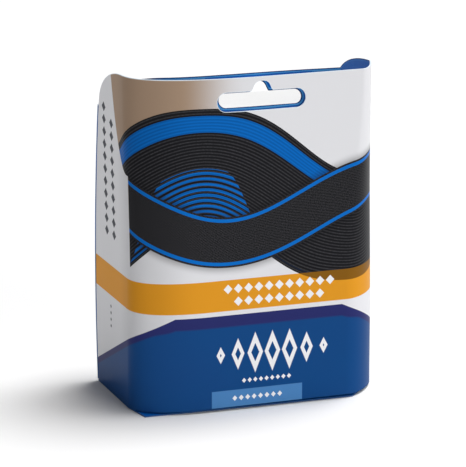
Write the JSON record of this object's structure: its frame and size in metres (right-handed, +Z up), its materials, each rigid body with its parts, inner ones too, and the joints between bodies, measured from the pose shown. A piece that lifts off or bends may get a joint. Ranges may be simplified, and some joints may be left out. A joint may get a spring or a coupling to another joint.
{
  "type": "hanging retail carton",
  "caption": "Upright folded paperboard carton with soft front corners, rounded side wings, a two-layer header with a Euro hang slot and a closed bottom.",
  "frame": {"origin": "middle of the outer box, on the surface that the carton stands on", "axes": "+X to the carton's right as seen from the front, +Y from the front to the back, +Z up"},
  "size_m": [0.0908, 0.0514, 0.119],
  "materials": {
    "printed_board": "coated, satin",
    "back_board": "coated, satin",
    "plain_board": "uncoated, matte",
    "blue_board": "coated, satin",
    "base_board": "coated, satin"
  },
  "bodies": {
    "root": {"front_wrap": "printed_board", "back_panel": "back_board", "seam_flap": "plain_board", "roof_panel": "plain_board", "header_tongue": "blue_board", "base_panel": "base_board", "base_tuck_flap": "plain_board", "base_dust_flap_left": "plain_board", "base_dust_flap_right": "plain_board"}
  },
  "joints": []
}
